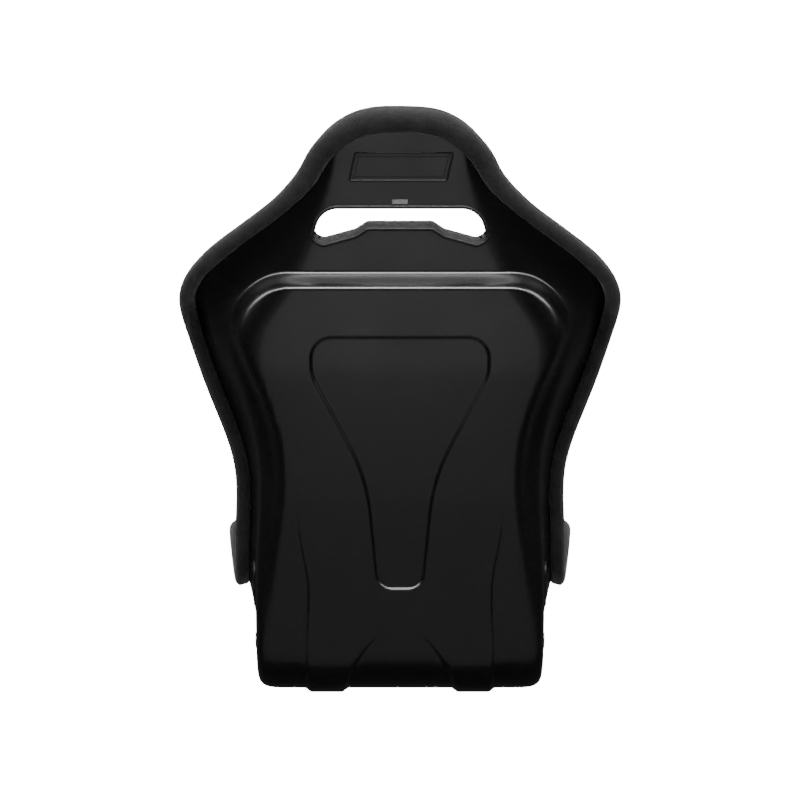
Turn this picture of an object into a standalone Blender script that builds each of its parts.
"""Fixed-back motorsport bucket seat: a moulded shell, its padding, belt-slot bezels and mounting hardware.

Metres, +Z up, seat facing -Y. The origin is on the floor, midway along the seat's box.
Every shape follows one moulded surface: sections set out along a side-view spine, each given
as (half-width x, depth r), where r runs outwards from the spine.
"""

import math

import bmesh
import bpy
import numpy as np
from mathutils import Vector

# ---------------------------------------------------------------- driving dimensions
WALL = 0.005              # laminate thickness
GAP = 0.0004              # clearance between pieces that touch
LINER = 0.012             # foam bonded to the shell
HOOK = 0.0022             # hook-and-loop strip
LEAN = math.radians(15.5)     # back panel, from vertical
UNDERSIDE = 0.006         # pan above the floor; the ribs reach the floor
HEEL_Y = 0.070            # where the pan's line meets the back's line
HEEL_RADIUS = 0.055
BLOCK = 0.030             # how far the torso block stands off the neck panel
BLOCK_TOP = 0.576         # height of the torso block's upper edge
BLOCK_CORNER = 0.080      # its upper corners' radius
BLOCK_EDGE = 0.011        # half the width of the block's rounded step
Y_SHIFT = 0.0763          # moves the whole seat along Y

# One row per station, front lip first. Y and Z place the spine; edge and depth give the shell's
# free edge; wall and share give the side wall's bend, share being how far it is from the sheet
# to the edge; sheet is the corner's half-width; block and height give the torso block.
STATIONS = np.array([
    #  Y      Z      edge    depth   wall   share  sheet  block  height
    (-0.420, 0.150, 0.196, -0.010, 0.183, 0.50, 0.165, 0.160, 0.000),
    (-0.300, 0.150, 0.232, -0.050, 0.200, 0.50, 0.196, 0.180, 0.000),
    (-0.180, 0.150, 0.234, -0.058, 0.202, 0.50, 0.200, 0.180, 0.000),
    (-0.060, 0.160, 0.218, 0.010, 0.203, 0.60, 0.200, 0.180, 0.000),
    (0.000, 0.228, 0.214, -0.002, 0.203, 0.60, 0.198, 0.178, 0.004),
    (0.030, 0.324, 0.2150, -0.010, 0.204, 0.60, 0.190, 0.168, 0.018),
    (0.055, 0.425, 0.249, -0.012, 0.230, 0.60, 0.203, 0.184, BLOCK),
    (0.080, 0.525, 0.280, 0.002, 0.259, 0.60, 0.217, 0.222, BLOCK),
    (0.104, 0.611, 0.256, 0.060, 0.205, 0.50, 0.152, 0.228, BLOCK),
    (0.130, 0.716, 0.123, 0.102, 0.110, 0.50, 0.096, 0.228, 0.024),
    (0.147, 0.795, 0.101, 0.114, 0.093, 0.50, 0.082, 0.228, 0.016),
])
TOP_STATION = len(STATIONS) - 1
TOP_DROP = 0.62           # stations that the top edge falls by, from the centre to the corner
FRONT_RISE = 0.45         # stations that the front edge is set back by, at its corners


# ---------------------------------------------------------------- curves
def natural_spline(values):
    """Second derivatives of the C2 curve through values at 0, 1, 2, ..."""
    values = np.asarray(values, float)
    n = len(values)
    rows = np.eye(n)
    right = np.zeros_like(values)
    for i in range(1, n - 1):
        rows[i, i - 1:i + 2] = 1, 4, 1
        right[i] = 6 * (values[i - 1] - 2 * values[i] + values[i + 1])
    return np.linalg.solve(rows, right)


def spline_at(values, bends, k):
    """The curve and its slope at k, for any array of k."""
    k = np.clip(np.asarray(k, float), 0, len(values) - 1 - 1e-9)
    i = k.astype(int)
    t = (k - i)[..., None]
    s = 1 - t
    a, b, ma, mb = values[i], values[i + 1], bends[i], bends[i + 1]
    point = a * s + b * t + ((s ** 3 - s) * ma + (t ** 3 - t) * mb) / 6
    slope = b - a + ((1 - 3 * s ** 2) * ma + (3 * t ** 2 - 1) * mb) / 6
    return point, slope


BENDS = natural_spline(STATIONS)


def smooth_step(x):
    x = np.clip(x, 0, 1)
    return x * x * x * (x * (6 * x - 15) + 10)


def arc_corner(before, corner, after, radius, count=8):
    """The points of a fillet of this radius where two straight runs meet."""
    before, corner, after = (Vector(p) for p in (before, corner, after))
    a = (before - corner).normalized()
    b = (after - corner).normalized()
    half = a.angle(b) / 2
    reach = radius / math.tan(half)
    centre = corner + (a + b).normalized() * radius / math.sin(half)
    start = corner + a * reach - centre
    end = corner + b * reach - centre
    turn = start.angle(end)
    points = []
    for i in range(count + 1):
        t = i / count
        p = (start * math.sin((1 - t) * turn) + end * math.sin(t * turn)) / math.sin(turn)
        points.append(tuple(centre + p))
    return points


def centre_profile():
    """The outer skin on the centre plane, in (Y, Z): front lip, pan, heel and back."""
    run = 1.0
    heel = (HEEL_Y, UNDERSIDE)
    top = (HEEL_Y + run * math.sin(LEAN), UNDERSIDE + run * math.cos(LEAN))
    lip = (-0.440, 0.125)
    shin = (-0.350, UNDERSIDE)
    points = [lip]
    points += arc_corner(lip, shin, heel, 0.110)
    points += arc_corner(shin, heel, top, HEEL_RADIUS)
    points.append(top)
    return np.array(points)


PROFILE = centre_profile()


def ray_to_line(origin, way, line):
    """Distance from origin along way to a polyline, all in (Y, Z)."""
    best = 9.0
    for a, b in zip(line[:-1], line[1:]):
        d = b - a
        det = way[0] * -d[1] + way[1] * d[0]
        if abs(det) < 1e-9:
            continue
        q = a - origin
        along = (q[0] * -d[1] + q[1] * d[0]) / det
        share = (way[0] * q[1] - way[1] * q[0]) / det
        if -1e-6 <= share <= 1 + 1e-6 and 0 < along < best:
            best = along
    return best


# ---------------------------------------------------------------- the moulded surface
def frame_at(k):
    """The spine's point and the outward way, both in (Y, Z), and the station's other values."""
    row, slope = spline_at(STATIONS, BENDS, k)
    along = slope[..., :2]
    along = along / np.linalg.norm(along, axis=-1, keepdims=True)
    outward = np.stack([along[..., 1], -along[..., 0]], -1)
    return row[..., :2], outward, row[..., 2:]


DEPTH_STEPS = 20
DEPTH_NODES = np.arange(TOP_STATION * DEPTH_STEPS + 1) / DEPTH_STEPS


def profile_depths():
    origins, ways, _ = frame_at(DEPTH_NODES)
    return np.array([ray_to_line(o, w, PROFILE) for o, w in zip(origins, ways)])


DEPTHS = profile_depths()[:, None]
DEPTH_BENDS = natural_spline(DEPTHS)
CORNER_REACH = 0.038
WALL_REACH = 0.020


def controls_at(k):
    """Each half section's control polygon, as (x, depth): centre, sheet, corner, wall, edge."""
    _, _, (edge, depth, wall, share, sheet, _, height) = [
        np.moveaxis(part, -1, 0) if n == 2 else part for n, part in enumerate(frame_at(k))
    ]
    skin = spline_at(DEPTHS, DEPTH_BENDS, np.asarray(k) * DEPTH_STEPS)[0][..., 0] - height
    centre = np.stack([0 * skin, skin], -1)
    corner = np.stack([sheet, skin], -1)
    bend = np.stack([wall, skin + share * (depth - skin)], -1)
    rim = np.stack([edge, depth], -1)

    def towards(a, b, reach):
        way = b - a
        length = np.linalg.norm(way, axis=-1, keepdims=True)
        return a + way * np.minimum(reach / length, 0.45)

    return np.stack([
        centre,
        centre + (corner - centre) * 0.35,
        centre + (corner - centre) * 0.70,
        towards(corner, centre, CORNER_REACH),
        corner,
        towards(corner, bend, CORNER_REACH),
        towards(bend, corner, WALL_REACH),
        bend,
        towards(bend, rim, WALL_REACH),
        (bend + rim) / 2,
        rim,
    ], -2)


def along_section(controls, t):
    """The section's point at t, from 0 at the centre to 1 at the edge."""
    mirror = controls[..., 1:2, :] * (-1, 1)
    beyond = 2 * controls[..., -1:, :] - controls[..., -2:-1, :]
    c = np.concatenate([mirror, controls, beyond], -2)
    spans = c.shape[-2] - 3
    t = np.clip(t, 0, 1) * spans
    i = np.minimum(t.astype(int), spans - 1)
    f = (t - i)[..., None]
    basis = (
        (1 - f) ** 3 / 6,
        (3 * f ** 3 - 6 * f ** 2 + 4) / 6,
        (-3 * f ** 3 + 3 * f ** 2 + 3 * f + 1) / 6,
        f ** 3 / 6,
    )
    pick = lambda n: np.take_along_axis(c, (i + n)[..., None, None], -2)[..., 0, :]
    return sum(w * pick(n) for n, w in enumerate(basis))


def even_table():
    """For each station node, the t of points spaced evenly along the section."""
    shares = np.linspace(0, 1, EVEN_COLUMNS)
    t = np.linspace(0, 1, 241)
    rows = []
    for k in EVEN_NODES:
        points = along_section(controls_at(np.full(t.shape, k)), t)
        length = np.r_[0, np.cumsum(np.linalg.norm(np.diff(points, axis=0), axis=1))]
        rows.append(np.interp(shares * length[-1], length, t))
    return np.array(rows)


EVEN_COLUMNS = 61
EVEN_NODES = np.arange(TOP_STATION * 4 + 1) / 4
EVEN = even_table()


def even_t(k, share):
    row = np.clip(k * 4, 0, len(EVEN) - 1 - 1e-9)
    column = np.clip(share * (EVEN_COLUMNS - 1), 0, EVEN_COLUMNS - 1 - 1e-9)
    i, j = row.astype(int), column.astype(int)
    a, b = row - i, column - j
    near = EVEN[i, j] * (1 - b) + EVEN[i, j + 1] * b
    far = EVEN[i + 1, j] * (1 - b) + EVEN[i + 1, j + 1] * b
    return near * (1 - a) + far * a


def block_share(x, z, half_width, inset, edge):
    """1 on the torso block, 0 off it, with a rounded step between."""
    q = np.stack([x - half_width + BLOCK_CORNER, z - BLOCK_TOP + BLOCK_CORNER], -1)
    outside = np.linalg.norm(np.maximum(q, 0), axis=-1)
    distance = outside + np.minimum(q.max(-1), 0) - BLOCK_CORNER + inset
    return 1 - smooth_step((distance + edge) / (2 * edge))


def station_of(u, v):
    """Rows run from the front edge at v = 0 to the top edge at v = 1; both edges are rounded."""
    first = FRONT_RISE * np.abs(u) ** 3
    last = TOP_STATION - TOP_DROP * np.abs(u) ** 3
    return first + v * (last - first)


def place(u, v, inset=0.0, edge=BLOCK_EDGE):
    """Points of the outer skin, for arrays of u from -1 to 1 across and v from 0 to 1 along.

    inset and edge move and soften the torso block's step."""
    u, v = np.broadcast_arrays(np.asarray(u, float), np.asarray(v, float))
    k = station_of(u, v)
    origin, outward, values = frame_at(k)
    across = along_section(controls_at(k), even_t(k, np.abs(u)))
    x, depth = across[..., 0], across[..., 1]
    z = origin[..., 1] + depth * outward[..., 1]
    depth = depth + values[..., 6] * block_share(x, z, values[..., 5], inset, edge)
    side = origin + depth[..., None] * outward
    return np.stack([x * np.sign(u), side[..., 0] + Y_SHIFT, side[..., 1]], -1)


STEP = 1e-3


def skin(u, v, inwards=0.0, inset=0.0, edge=BLOCK_EDGE):
    """Points at a distance inside the outer skin, and the outward normals there."""
    u, v = np.broadcast_arrays(np.asarray(u, float), np.asarray(v, float))
    inside_u, inside_v = np.clip(u, STEP - 1, 1 - STEP), np.clip(v, STEP, 1 - STEP)
    left, right = place(inside_u - STEP, inside_v, inset, edge), place(inside_u + STEP, inside_v, inset, edge)
    low, high = place(inside_u, inside_v - STEP, inset, edge), place(inside_u, inside_v + STEP, inset, edge)
    normal = np.cross(high - low, right - left)
    normal /= np.linalg.norm(normal, axis=-1, keepdims=True)
    return place(u, v, inset, edge) - normal * np.asarray(inwards)[..., None], normal


def find_uv(axes, target, start):
    """The u and v where two coordinates of the outer skin meet a target, by Newton's method."""
    u, v = start
    for _ in range(20):
        p = place(u, v)[..., axes]
        du = (place(u + STEP, v)[..., axes] - p) / STEP
        dv = (place(u, v + STEP)[..., axes] - p) / STEP
        miss = np.asarray(target) - p
        det = du[0] * dv[1] - dv[0] * du[1]
        u = float(np.clip(u + (miss[0] * dv[1] - miss[1] * dv[0]) / det, -0.99, 0.99))
        v = float(np.clip(v + (miss[1] * du[0] - miss[0] * du[1]) / det, 0.01, 0.99))
    return u, v


def u_at(x, v):
    """The u where row v has this x."""
    x, v = np.broadcast_arrays(np.asarray(x, float), np.asarray(v, float))
    u = x / 0.4
    for _ in range(12):
        here = place(u, v)[..., 0]
        slope = (place(u + STEP, v)[..., 0] - here) / STEP
        u = np.clip(u + (x - here) / slope, -0.97, 0.97)
    return u


# ---------------------------------------------------------------- meshes and materials
def material(name, colour, roughness, metallic=0.0):
    made = bpy.data.materials.new(name)
    made.use_nodes = True
    shader = made.node_tree.nodes["Principled BSDF"]
    shader.inputs["Base Color"].default_value = (*colour, 1.0)
    shader.inputs["Roughness"].default_value = roughness
    shader.inputs["Metallic"].default_value = metallic
    return made


def add_mesh(name, points, faces, finish, sharp=35.0):
    mesh = bpy.data.meshes.new(name)
    mesh.from_pydata([tuple(map(float, p)) for p in points], [], faces)
    work = bmesh.new()
    work.from_mesh(mesh)
    bmesh.ops.recalc_face_normals(work, faces=work.faces)
    work.to_mesh(mesh)
    work.free()
    mesh.shade_smooth()
    mesh.set_sharp_from_angle(angle=math.radians(sharp))
    made = bpy.data.objects.new(name, mesh)
    bpy.context.scene.collection.objects.link(made)
    if finish is not None:
        mesh.materials.append(finish)
    return made


def slab(name, outer, inner, finish, turn=None):
    """A closed solid between two grids of points, joined round their border.

    The diagonals of its faces change direction at column turn, the middle one if not given."""
    rows, columns = outer.shape[:2]
    turn = (columns - 1) / 2 if turn is None else turn
    count = rows * columns
    index = np.arange(count).reshape(rows, columns)
    faces = []
    for i in range(rows - 1):
        for j in range(columns - 1):
            around = (index[i, j], index[i, j + 1], index[i + 1, j + 1], index[i + 1, j])
            a, b, c, d = (int(n) for n in around)
            halves = ((a, b, c), (a, c, d)) if j >= turn else ((a, b, d), (b, c, d))
            for half in halves:
                faces.append(half)
                faces.append(tuple(n + count for n in reversed(half)))
    border = [*index[0, :], *index[1:, -1], *index[-1, -2::-1], *index[-2:0:-1, 0]]
    for a, b in zip(border, border[1:] + border[:1]):
        faces.append((int(b), int(a), int(a) + count, int(b) + count))
    points = np.concatenate([outer.reshape(-1, 3), inner.reshape(-1, 3)])
    return add_mesh(name, points, faces, finish)


def tube_of_loops(name, loops, finish, closed):
    """A solid skinned over rings of points; closed joins the last ring to the first."""
    rings, sides = len(loops), len(loops[0])
    faces = []
    for i in range(rings if closed else rings - 1):
        for j in range(sides):
            a, b = i * sides, (i + 1) % rings * sides
            n = (j + 1) % sides
            faces.append((a + j, a + n, b + n, b + j))
    if not closed:
        faces.append(tuple(range(sides - 1, -1, -1)))
        faces.append(tuple((rings - 1) * sides + j for j in range(sides)))
    return add_mesh(name, np.concatenate(loops), faces, finish)


def boolean(target, other, operation):
    step = target.modifiers.new(operation.lower(), "BOOLEAN")
    step.operation = operation
    step.object = other
    step.solver = "EXACT"
    other.hide_render = True
    other.display_type = "WIRE"


def rounded_outline(corners, count=5):
    """A closed outline of (x, y) through (x, y, radius) corners."""
    points = []
    for i, (x, y, radius) in enumerate(corners):
        before, after = corners[i - 1], corners[(i + 1) % len(corners)]
        points += arc_corner(before[:2], (x, y), after[:2], radius, count)
    return np.array(points)


def mirrored(corners):
    """The right half of an outline, given from top to bottom, with its left half added."""
    return list(corners) + [(-x, y, r) for x, y, r in reversed(corners)]


class Flat:
    """A flat working plane touching the outer skin, measured from a point (across, up)."""

    def __init__(self, axes, target, start, across):
        target = [t + Y_SHIFT * (axis == 1) for axis, t in zip(axes, target)]
        point, normal = skin(*find_uv(axes, target, start))
        self.origin, self.out = Vector(point), Vector(normal)
        self.across = Vector(across)
        self.across = (self.across - self.out * self.across.dot(self.out)).normalized()
        self.up = self.out.cross(self.across)
        if self.up.z < -0.5 or self.up.y < -0.5:
            self.up = -self.up

    def at(self, across, up, depth):
        """The point at (across, up), moved inwards by depth."""
        return self.origin + self.across * across + self.up * up - self.out * depth


def prism(name, flat, outline, near, far, finish=None):
    """A cutter or a plug: an outline on a flat plane from one depth to another."""
    loops = [np.array([flat.at(x, y, d) for x, y in outline]) for d in (near, far)]
    return tube_of_loops(name, loops, finish, closed=False)


def grown(outline, distance):
    """The outline moved outwards by a distance."""
    before, after = np.roll(outline, 1, 0), np.roll(outline, -1, 0)
    way = after - before
    normal = np.stack([way[:, 1], -way[:, 0]], -1)
    normal /= np.linalg.norm(normal, axis=1, keepdims=True)
    area = (outline[:, 0] * after[:, 1] - after[:, 0] * outline[:, 1]).sum()
    return outline + normal * distance * np.sign(area)


def ring(name, flat, outline, profile, finish):
    """A frame round an outline; profile lists (distance outside it, depth)."""
    offsets = [grown(outline, d) for d, _ in profile]
    loops = [
        np.array([flat.at(*offsets[j][i], profile[j][1]) for j in range(len(profile))])
        for i in range(len(outline))
    ]
    return tube_of_loops(name, loops, finish, closed=True)


# ---------------------------------------------------------------- the shared grid of points
GRID_U = np.linspace(-1, 1, 29)
GRID_V = np.r_[
    np.linspace(0, 0.28, 9),
    np.linspace(0.28, 0.42, 8)[1:],
    np.linspace(0.42, 0.76, 11)[1:],
    np.linspace(0.76, 0.82, 7)[1:],
    np.linspace(0.82, 1, 8)[1:],
]
NODE_U, NODE_V = np.meshgrid(GRID_U, GRID_V)
PLATE_COLUMNS = (3, 6)    # grid columns the right steel plate spans
PLATE_ROWS = (3, 10)      # grid rows it spans
PLATE = 0.003

PLATE_MASK = np.zeros(NODE_U.shape)
PLATE_MASK[PLATE_ROWS[0]:PLATE_ROWS[1] + 1, PLATE_COLUMNS[0]:PLATE_COLUMNS[1] + 1] = 1
PLATE_MASK = np.maximum(PLATE_MASK, PLATE_MASK[:, ::-1])

SHELL_OUT, OUTWARD = skin(NODE_U, NODE_V)
SHELL_IN = SHELL_OUT - OUTWARD * WALL
LINER_OUT = SHELL_IN - OUTWARD * (GAP + PLATE_MASK * (PLATE + 2 * GAP))[..., None]
SOFT_INSET, SOFT_EDGE = 0.030, 0.036
SOFT, SOFT_OUTWARD = skin(NODE_U, NODE_V, 0, SOFT_INSET, SOFT_EDGE)
SLOT_PAD = 0.014 * np.exp(-(SOFT[..., 0] / 0.13) ** 4 - ((SOFT[..., 2] - 0.650) / 0.065) ** 4)
SLOT_PAD *= 1 - smooth_step((np.abs(NODE_U) - 0.6) / 0.3)
LINER_IN = SOFT - SOFT_OUTWARD * (WALL + 2 * GAP + LINER + PLATE_MASK * PLATE + SLOT_PAD)[..., None]

INNER_ROW = np.clip(np.arange(len(GRID_V)), 1, len(GRID_V) - 2)[:, None]
INNER_COLUMN = np.clip(np.arange(len(GRID_U)), 1, len(GRID_U) - 2)[None, :]
SET_BACK = 0.09           # how far the liner's border keeps from the shell's edge, in grid cells
LINER_OUT = LINER_OUT + (LINER_OUT[INNER_ROW, INNER_COLUMN] - LINER_OUT) * SET_BACK
OUTER_ROWS = INNER_ROW != np.arange(len(GRID_V))[:, None]
OUTER_COLUMNS = INNER_COLUMN != np.arange(len(GRID_U))[None, :]
BORDER_MASK = OUTER_ROWS | OUTER_COLUMNS
LINER_OUT = LINER_OUT - OUTWARD * (BORDER_MASK * 0.0020)[..., None]
LINER_IN = LINER_IN + (LINER_IN[INNER_ROW, INNER_COLUMN] - LINER_IN) * SET_BACK


def facet(points, u, v):
    """Points on the triangles of a grid that slab() makes from it."""
    u, v = np.broadcast_arrays(np.asarray(u, float), np.asarray(v, float))
    j = np.clip(np.searchsorted(GRID_U, u, side="right") - 1, 0, len(GRID_U) - 2)
    i = np.clip(np.searchsorted(GRID_V, v, side="right") - 1, 0, len(GRID_V) - 2)
    a = ((u - GRID_U[j]) / (GRID_U[j + 1] - GRID_U[j]))[..., None]
    b = ((v - GRID_V[i]) / (GRID_V[i + 1] - GRID_V[i]))[..., None]
    left = (j < len(GRID_U) // 2)[..., None]
    a = np.where(left, 1 - a, a)
    near, far = np.where(left, points[i, j + 1], points[i, j]), np.where(left, points[i, j], points[i, j + 1])
    up_near = np.where(left, points[i + 1, j + 1], points[i + 1, j])
    up_far = np.where(left, points[i + 1, j], points[i + 1, j + 1])
    below = near + (far - near) * a + (up_far - far) * b
    above = near + (up_near - near) * b + (up_far - up_near) * a
    return np.where(a > b, below, above)


def pad(name, across, along, height, lift, finish, border=0.006, round_off=0.16, size=(9, 9)):
    """A domed cushion over the liner, between u values and between v values."""
    s = np.sin(np.linspace(-1, 1, size[1]) * math.pi / 2) * 0.6 + np.linspace(-1, 1, size[1]) * 0.4
    t = np.sin(np.linspace(-1, 1, size[0]) * math.pi / 2) * 0.6 + np.linspace(-1, 1, size[0]) * 0.4
    s, t = np.meshgrid(s, t)
    u = (across[0] + across[1]) / 2 + (across[1] - across[0]) / 2 * s * np.sqrt(1 - round_off * t ** 2)
    v = (along[0] + along[1]) / 2 + (along[1] - along[0]) / 2 * t * np.sqrt(1 - round_off * s ** 2)
    way = facet(SOFT_OUTWARD, u, v)
    way = way / np.linalg.norm(way, axis=-1, keepdims=True)
    base = facet(LINER_IN, u, v) - way * lift
    dome = np.sqrt((1 - s ** 4) * (1 - t ** 4))
    crown = base - way * (border + (height - border) * dome)[..., None]
    return slab(name, base, crown, finish)


# ---------------------------------------------------------------- start clean
for old in list(bpy.data.objects):
    bpy.data.objects.remove(old, do_unlink=True)

GLOSS = material("gloss_laminate", (0.020, 0.018, 0.017), 0.22)
CLOTH = material("dark_fabric", (0.030, 0.030, 0.031), 0.92)
FOAM = material("foam", (0.045, 0.045, 0.048), 0.95)
RUBBER = material("rubber", (0.012, 0.012, 0.012), 0.6)
TAPE = material("hook_tape", (0.020, 0.020, 0.022), 0.85)
STEEL = material("steel", (0.46, 0.46, 0.48), 0.32, 1.0)
LABEL = material("label", (0.60, 0.60, 0.60), 0.7)

# ---------------------------------------------------------------- shell with its ribs
shell = slab("shell", SHELL_OUT, SHELL_IN, GLOSS)

RIB_ROWS = GRID_V[(GRID_V > 0.13) & (GRID_V < 0.47)]
RIB_HEIGHT = UNDERSIDE


def rib(name, side):
    """A raised runner under the pan that climbs the back and fades out."""
    v = RIB_ROWS
    fade = 1 - smooth_step((v - 0.40) / 0.07)
    narrow = smooth_step((v - 0.33) / 0.09)
    inner = 0.071 + narrow * 0.046
    outer = 0.1355 - narrow * 0.002
    height = RIB_HEIGHT * fade
    x = np.stack([inner, inner + 0.014 * (1 - narrow * 0.5), outer - 0.0215 * (1 - narrow * 0.6), outer], -1)
    u = side * u_at(x, v[:, None])
    way = facet(OUTWARD, u, v[:, None])
    way = way / np.linalg.norm(way, axis=-1, keepdims=True)
    lift = height[:, None] * np.array([0, 1, 1, 0]) - 0.0006 * np.array([1, 0, 0, 1])
    face = facet(SHELL_OUT, u, v[:, None])
    lift[-1] = -0.0006
    lift[0] = -0.0006
    return slab(name, face + way * lift[..., None], face - way * 0.0025, GLOSS)


for side, name in ((-1, "rib_add_right"), (1, "rib_add_left")):
    boolean(shell, rib(name, -side), "UNION")

# ---------------------------------------------------------------- recessed panel on the back
BACK = Flat([0, 2], (0.0, 0.335), (0.0, 0.55), (1, 0, 0))


def on_back(flat, corners):
    """Corners given as (x, z, radius), mirrored, as an outline on a flat plane."""
    outline = rounded_outline(mirrored(corners))
    outline[:, 1] = (outline[:, 1] - flat.origin.z) / flat.up.z
    return outline


RECESS = on_back(BACK, [
    (0.122, 0.497, 0.030), (0.1215, 0.445, 0.050), (0.0475, 0.305, 0.250), (0.0325, 0.150, 0.024),
])
boolean(shell, prism("recess_cut", BACK, RECESS, -0.004, 0.0022), "DIFFERENCE")

# ---------------------------------------------------------------- belt slots
SHOULDER = Flat([0, 2], (0.0, 0.647), (0.0, 0.86), (1, 0, 0))
SHOULDER_SLOT = on_back(SHOULDER, [
    (0.1055, 0.6664, 0.030), (0.1165, 0.6275, 0.008), (0.103, 0.6210, 0.008),
    (0.060, 0.6325, 0.012), (0.044, 0.6426, 0.010),
])
SIDE_UP = (0.6, 0.8)
LAP_SLOT = rounded_outline([
    (-0.031, -0.010, 0.0085), (0.031, -0.010, 0.0085), (0.031, 0.010, 0.0085), (-0.031, 0.010, 0.0085),
])
CROTCH = Flat([0, 1], (0.0, -0.165), (0.0, 0.22), (1, 0, 0))
CROTCH_SLOT = rounded_outline([
    (-0.040, -0.0125, 0.011), (0.040, -0.0125, 0.011), (0.040, 0.0125, 0.011), (-0.040, 0.0125, 0.011),
])
LAP_LEFT = Flat([1, 2], (0.050, 0.155), (0.6, 0.36), (0, *SIDE_UP))
LAP_RIGHT = Flat([1, 2], (0.050, 0.155), (-0.6, 0.36), (0, *SIDE_UP))
SLEEVE = 0.0020           # thickness of a bezel's sleeve


def bezel(name, flat, outline, depth, lip=0.0055, finish=RUBBER):
    """A trim that lines a slot, with a lip on the outer skin and a lip on the liner."""
    profile = [(0, -0.0026), (lip, -0.0026), (lip, -0.0011), (SLEEVE, -0.0011), (SLEEVE, depth), (0, depth)]
    return ring(name, flat, outline, profile, finish)


def cut_through(name, flat, outline, target, sleeve=SLEEVE, reach=0.07):
    boolean(target, prism(name, flat, grown(outline, sleeve + GAP), -0.03, reach), "DIFFERENCE")


# ---------------------------------------------------------------- liner
liner = slab("foam_liner", LINER_OUT, LINER_IN, FOAM)

for flat, outline, name in (
    (SHOULDER, SHOULDER_SLOT, "shoulder_slot_cut"),
    (LAP_LEFT, LAP_SLOT, "lap_slot_cut_left"),
    (LAP_RIGHT, LAP_SLOT, "lap_slot_cut_right"),
    (CROTCH, CROTCH_SLOT, "crotch_slot_cut"),
):
    cut_through(name, flat, outline, shell)
    cut_through(name + "_liner", flat, outline, liner)

bezel("shoulder_slot_bezel", SHOULDER, SHOULDER_SLOT, 0.036)
bezel("lap_slot_bezel_left", LAP_LEFT, LAP_SLOT, 0.021)
bezel("lap_slot_bezel_right", LAP_RIGHT, LAP_SLOT, 0.021)
bezel("crotch_slot_bezel", CROTCH, CROTCH_SLOT, 0.021)

# ---------------------------------------------------------------- steel plates and mounting inserts
PLATE_NODES = np.s_[PLATE_ROWS[0]:PLATE_ROWS[1] + 1, PLATE_COLUMNS[0]:PLATE_COLUMNS[1] + 1]
plate_out = SHELL_IN - OUTWARD * GAP
plate_in = plate_out - OUTWARD * (PLATE - GAP)
plates = {}
for side, word in ((-1, "right"), (1, "left")):
    outer, inner = (plate_out[:, ::side * -1], plate_in[:, ::side * -1])
    plates[word] = slab("side_plate_" + word, outer[PLATE_NODES], inner[PLATE_NODES], STEEL, turn=99)

THREAD = 0.0034           # M8 tapping radius
BARREL = 0.0017           # wall of the threaded barrel
FLANGE = 0.0076           # flange beyond the thread
ANGLES = np.arange(20) * math.tau / 20
BORE = np.stack([np.cos(ANGLES), np.sin(ANGLES)], -1) * THREAD
INSERT_Z = 0.072
INSERTS = (("front", -0.245), ("rear", 0.020))
for side, word in ((-1, "right"), (1, "left")):
    for place_name, y in INSERTS:
        flat = Flat([1, 2], (y, INSERT_Z), (side * 0.7, 0.14 if y < 0 else 0.31), (0, 1, 0))
        name = "mount_insert_" + place_name + "_" + word
        for target in (shell, plates[word], liner):
            cut_through(name + "_cut_" + target.name, flat, BORE, target, BARREL, 0.03)
        profile = [
            (0, -0.0020), (FLANGE, -0.0020), (FLANGE, -0.0005),
            (BARREL, -0.0005), (BARREL, 0.0140), (0, 0.0140),
        ]
        ring(name, flat, BORE, profile, STEEL)

# ---------------------------------------------------------------- padded edge roll
BORDER = (
    [(0, j) for j in range(len(GRID_U))]
    + [(i, len(GRID_U) - 1) for i in range(1, len(GRID_V))]
    + [(len(GRID_V) - 1, j) for j in range(len(GRID_U) - 2, -1, -1)]
    + [(i, 0) for i in range(len(GRID_V) - 2, 0, -1)]
)
ROLL_ANGLES = np.radians(np.linspace(-132, 132, 9))
THICK = WALL + LINER + 2 * GAP


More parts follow.
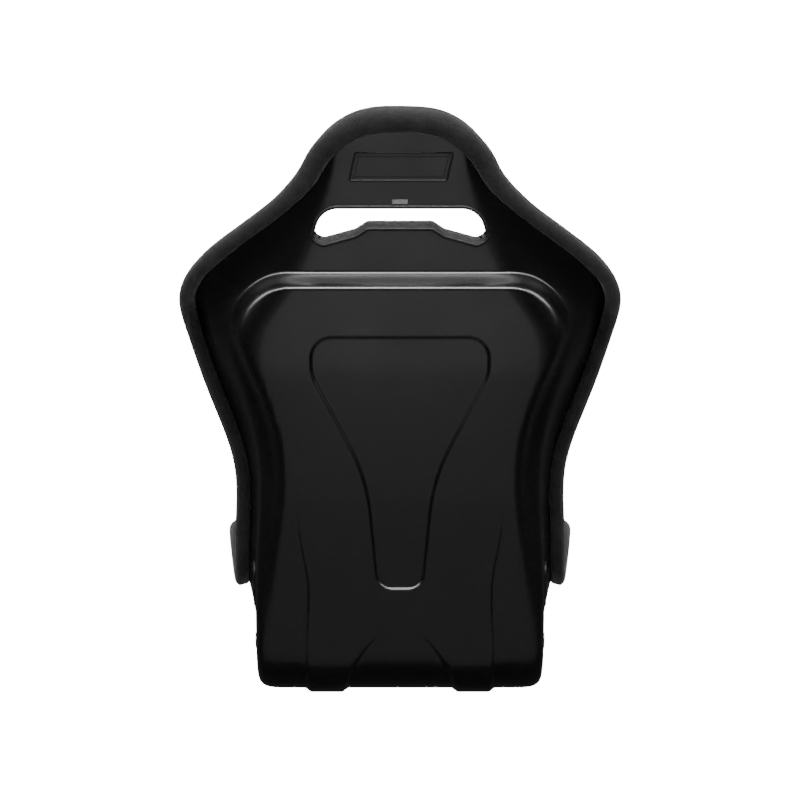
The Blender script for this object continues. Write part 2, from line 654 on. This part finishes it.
def edge_roll():
    """Fabric-covered foam wrapped over the free edge of the shell and its liner."""
    rim = np.array([SHELL_OUT[n] for n in BORDER])
    normal = np.array([OUTWARD[n] for n in BORDER])
    along = np.roll(rim, -1, 0) - rim
    along /= np.linalg.norm(along, axis=1, keepdims=True)
    before = np.roll(along, 1, 0)
    tangent = along + before
    tangent /= np.linalg.norm(tangent, axis=1, keepdims=True)
    mitre = 1 / np.maximum((tangent * along).sum(1), 0.75)
    outside = np.cross(tangent, normal)
    outside /= np.linalg.norm(outside, axis=1, keepdims=True)
    inner = [(min(max(i, 1), len(GRID_V) - 2), min(max(j, 1), len(GRID_U) - 2)) for i, j in BORDER]
    away = rim - np.array([SHELL_OUT[n] for n in inner])
    outside *= np.sign((outside * away).sum(1))[:, None]
    extra = smooth_step((rim[:, 2] - 0.64) / 0.09) * 0.004
    loops = []
    for p, n, e, m, more in zip(rim, normal, outside, mitre, extra):
        section = [
            (0.005 + more + (0.0135 + more) * math.cos(a),
             -0.0030 + math.copysign(0.0228 * abs(math.sin(a)) ** 0.7, a))
            for a in ROLL_ANGLES
        ]
        section += [
            (-0.0040, 0.0006), (0.0012, 0.0006), (0.0020, -THICK - 0.0030), (-0.0030, -THICK - 0.0030),
        ]
        loops.append(np.array([p + e * a * m + n * b for a, b in section]))
    return tube_of_loops("edge_roll", loops, CLOTH, closed=True)


edge_roll()

# ---------------------------------------------------------------- hook strips and the tag
def strip(name, across, along):
    """A strip of hook tape on the liner under a removable cushion."""
    u, v = np.meshgrid(np.linspace(*across, 6), np.linspace(*along, 3))
    way = facet(SOFT_OUTWARD, u, v)
    way = way / np.linalg.norm(way, axis=-1, keepdims=True)
    base = facet(LINER_IN, u, v) - way * 0.0006
    return slab(name, base, base - way * (HOOK - 0.0008), TAPE)


strip("hook_strip_seat_front", (-0.25, 0.25), (0.272, 0.285))
strip("hook_strip_seat_rear", (-0.25, 0.25), (0.365, 0.378))
strip("hook_strip_leg", (-0.25, 0.25), (0.10, 0.115))
strip("hook_strip_back_lower", (-0.25, 0.25), (0.50, 0.52))
strip("hook_strip_back_upper", (-0.25, 0.25), (0.69, 0.71))
strip("hook_strip_headrest", (-0.30, 0.30), (0.935, 0.955))

TAG = np.array([(-0.0105, 0.0285), (0.0105, 0.0285), (0.0105, 0.0340), (-0.0105, 0.0340)])
prism("slot_tag", SHOULDER, TAG, -0.0014, -0.0005, LABEL)

# ---------------------------------------------------------------- cushions
pad("seat_cushion", (-0.40, 0.40), (0.262, 0.395), 0.034, HOOK + 0.001, CLOTH)
pad("leg_cushion", (-0.355, 0.355), (0.035, 0.180), 0.030, HOOK + 0.001, CLOTH)
pad("back_cushion", (-0.36, 0.36), (0.47, 0.760), 0.028, HOOK + 0.001, CLOTH, size=(11, 9))
pad("headrest_pad", (-0.66, 0.66), (0.893, 0.980), 0.026, HOOK + 0.001, CLOTH)
for side, word in ((1, "left"), (-1, "right")):
    pad("shoulder_bolster_" + word, (side * 0.56, side * 0.94), (0.66, 0.84), 0.030, 0.0022, CLOTH)
    pad("torso_bolster_" + word, (side * 0.60, side * 0.93), (0.44, 0.62), 0.020, 0.0030, CLOTH)
    pad("thigh_bolster_" + word, (side * 0.60, side * 0.93), (0.06, 0.32), 0.022, 0.0045, CLOTH)
